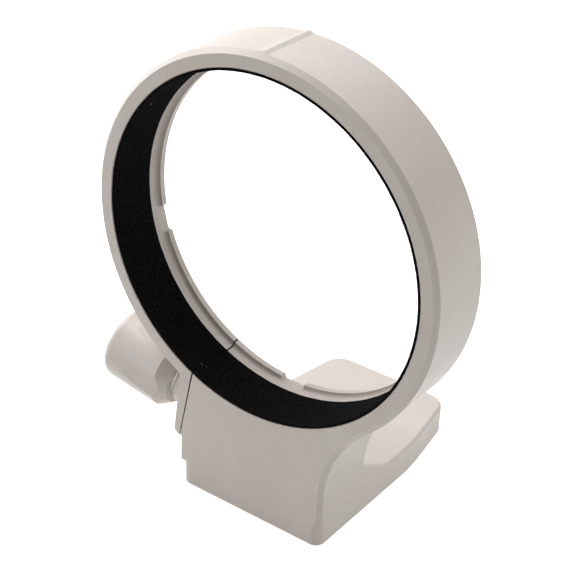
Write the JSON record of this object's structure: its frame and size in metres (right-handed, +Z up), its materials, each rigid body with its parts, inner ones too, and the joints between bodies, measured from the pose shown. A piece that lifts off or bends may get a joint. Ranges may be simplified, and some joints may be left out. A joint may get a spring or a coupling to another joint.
{
  "type": "lens tripod collar",
  "caption": "Split clamp ring with a felt-lined bore, a cast foot with a tripod thread, and a clamp knob on a captive screw.",
  "frame": {"origin": "centre of the felt-lined bore on the lens axis, halfway through the ring's width", "axes": "+Z up away from the foot, -Y along the lens axis towards the front of the lens, +X to the side away from the clamp knob"},
  "size_m": [0.0944, 0.0635, 0.1191],
  "materials": {
    "white_paint": "semi-matt warm white enamel over a fine cast grain",
    "black_felt": "short black felt",
    "steel": "turned steel",
    "nylon": "natural nylon"
  },
  "bodies": {
    "collar": {"collar_body": "white_paint", "felt_lining": "black_felt", "clamp_insert": "steel", "tripod_bushing": "steel"},
    "washers": {"friction_washer": "nylon", "thrust_washer": "steel"},
    "knob": {"clamp_knob": "white_paint", "clamp_screw": "steel", "retaining_clip": "steel"}
  },
  "joints": [
    {"name": "knob_travel", "type": "slide", "parent": "collar", "child": "washers", "axis": [-0.9877, 0, 0.1564], "range_m": [0, 0.0025]},
    {"name": "knob_turn", "type": "hinge", "parent": "washers", "child": "knob", "pos_m": [-0.0227, 0, -0.0487], "axis": [-0.9877, 0, 0.1564], "range_deg": [0, 901]}
  ],
  "couplings": [
    {"joint": "knob_turn", "follows": "knob_travel", "rad_per_m": 6283.2}
  ]
}
